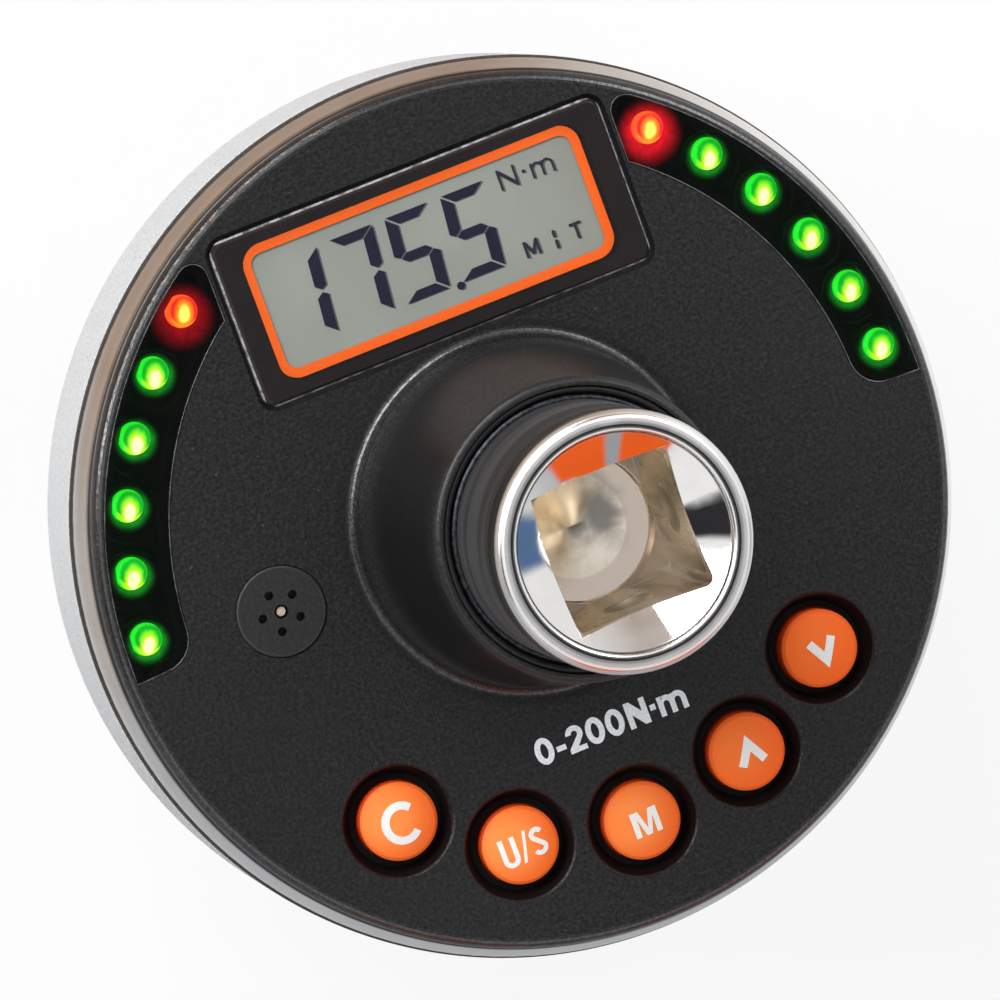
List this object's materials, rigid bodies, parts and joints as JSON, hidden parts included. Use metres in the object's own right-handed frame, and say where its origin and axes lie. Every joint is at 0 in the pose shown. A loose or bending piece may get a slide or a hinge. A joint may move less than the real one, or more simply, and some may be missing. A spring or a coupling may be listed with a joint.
{
  "type": "torque angle gauge",
  "caption": "Round digital torque and angle gauge with a square drive shaft through it, display, arcs of lights, orange keys and a sounder grille.",
  "frame": {"origin": "centre of the male square's tip, the lowest point of the part", "axes": "+Z along the drive axis from the male square to the female square, +Y from the axis towards the display, +X completes the frame"},
  "size_m": [0.0828, 0.0828, 0.0754],
  "materials": {
    "chrome_steel": "polished chrome plate on forged steel",
    "ball_steel": "ground steel ball",
    "spring_steel": "spring wire",
    "gauge_foil": "amber foil",
    "cover_black": "fine-textured matt black",
    "bezel_silver": "polished ring",
    "seal_rubber": "matt",
    "housing_grey": "fine-grained light grey",
    "ring_dark": "black oxide spring steel",
    "screw_steel": "zinc plated",
    "window_clear": "clear gloss",
    "mask_black": "black print behind the window",
    "line_orange": "orange print behind the window",
    "lcd_grey": "grey green liquid crystal panel",
    "holder_white": "moulded",
    "zebra_grey": "striped elastomer",
    "smoke": "smoked gloss",
    "holder_black": "moulded",
    "led_red": "lit",
    "led_green": "lit",
    "buzzer_tan": "moulded",
    "board_green": "solder mask",
    "chip_black": "moulded",
    "switch_metal": "pressed",
    "key_orange": "satin orange",
    "cell_wrap": "plain shrink sleeve",
    "contact_steel": "nickel plated"
  },
  "bodies": {
    "gauge": {"drive_shaft": "chrome_steel", "detent_spring": "spring_steel", "strain_gauges": "gauge_foil", "gauge_flex": "gauge_foil", "front_cover": "cover_black", "bezel_ring": "bezel_silver", "housing_gasket": "seal_rubber", "rear_housing": "housing_grey", "front_seal": "seal_rubber", "retaining_ring": "ring_dark", "rear_seal": "seal_rubber", "flange_screws": "screw_steel", "case_screws": "screw_steel", "display_window": "window_clear", "display_mask": "mask_black", "display_line": "line_orange", "lcd_panel": "lcd_grey", "lcd_holder": "holder_white", "zebra_strips": "zebra_grey", "left_light_window": "smoke", "right_light_window": "smoke", "left_light_holder": "holder_black", "right_light_holder": "holder_black", "red_leds": "led_red", "green_leds": "led_green", "buzzer_grille": "cover_black", "buzzer": "buzzer_tan", "main_board": "board_green", "board_chips": "chip_black", "key_switches": "switch_metal", "battery_cells": "cell_wrap", "cell_contacts": "contact_steel", "cell_springs": "spring_steel"},
    "clear_key": {"clear_key": "key_orange"},
    "unit_key": {"unit_key": "key_orange"},
    "mode_key": {"mode_key": "key_orange"},
    "up_key": {"up_key": "key_orange"},
    "down_key": {"down_key": "key_orange"},
    "detent_ball": {"detent_ball": "ball_steel"},
    "left_battery_door": {"left_battery_door": "housing_grey", "left_door_screw": "screw_steel"},
    "right_battery_door": {"right_battery_door": "housing_grey", "right_door_screw": "screw_steel"}
  },
  "joints": [
    {"name": "clear_key_press", "type": "slide", "parent": "gauge", "child": "clear_key", "axis": [0, 0, -1], "range_m": [0, 0.0005], "stiffness_N_per_m": 300},
    {"name": "unit_key_press", "type": "slide", "parent": "gauge", "child": "unit_key", "axis": [0, 0, -1], "range_m": [0, 0.0005], "stiffness_N_per_m": 300},
    {"name": "mode_key_press", "type": "slide", "parent": "gauge", "child": "mode_key", "axis": [0, 0, -1], "range_m": [0, 0.0005], "stiffness_N_per_m": 300},
    {"name": "up_key_press", "type": "slide", "parent": "gauge", "child": "up_key", "axis": [0, 0, -1], "range_m": [0, 0.0005], "stiffness_N_per_m": 300},
    {"name": "down_key_press", "type": "slide", "parent": "gauge", "child": "down_key", "axis": [0, 0, -1], "range_m": [0, 0.0005], "stiffness_N_per_m": 300},
    {"name": "detent_ball_press", "type": "slide", "parent": "gauge", "child": "detent_ball", "axis": [-1, 0, 0], "range_m": [0, 0.0009], "stiffness_N_per_m": 800, "deforming": ["detent_spring"]},
    {"name": "left_battery_door_lift", "type": "slide", "parent": "gauge", "child": "left_battery_door", "axis": [0, 0, -1], "range_m": [0, 0.015]},
    {"name": "right_battery_door_lift", "type": "slide", "parent": "gauge", "child": "right_battery_door", "axis": [0, 0, -1], "range_m": [0, 0.015]}
  ]
}
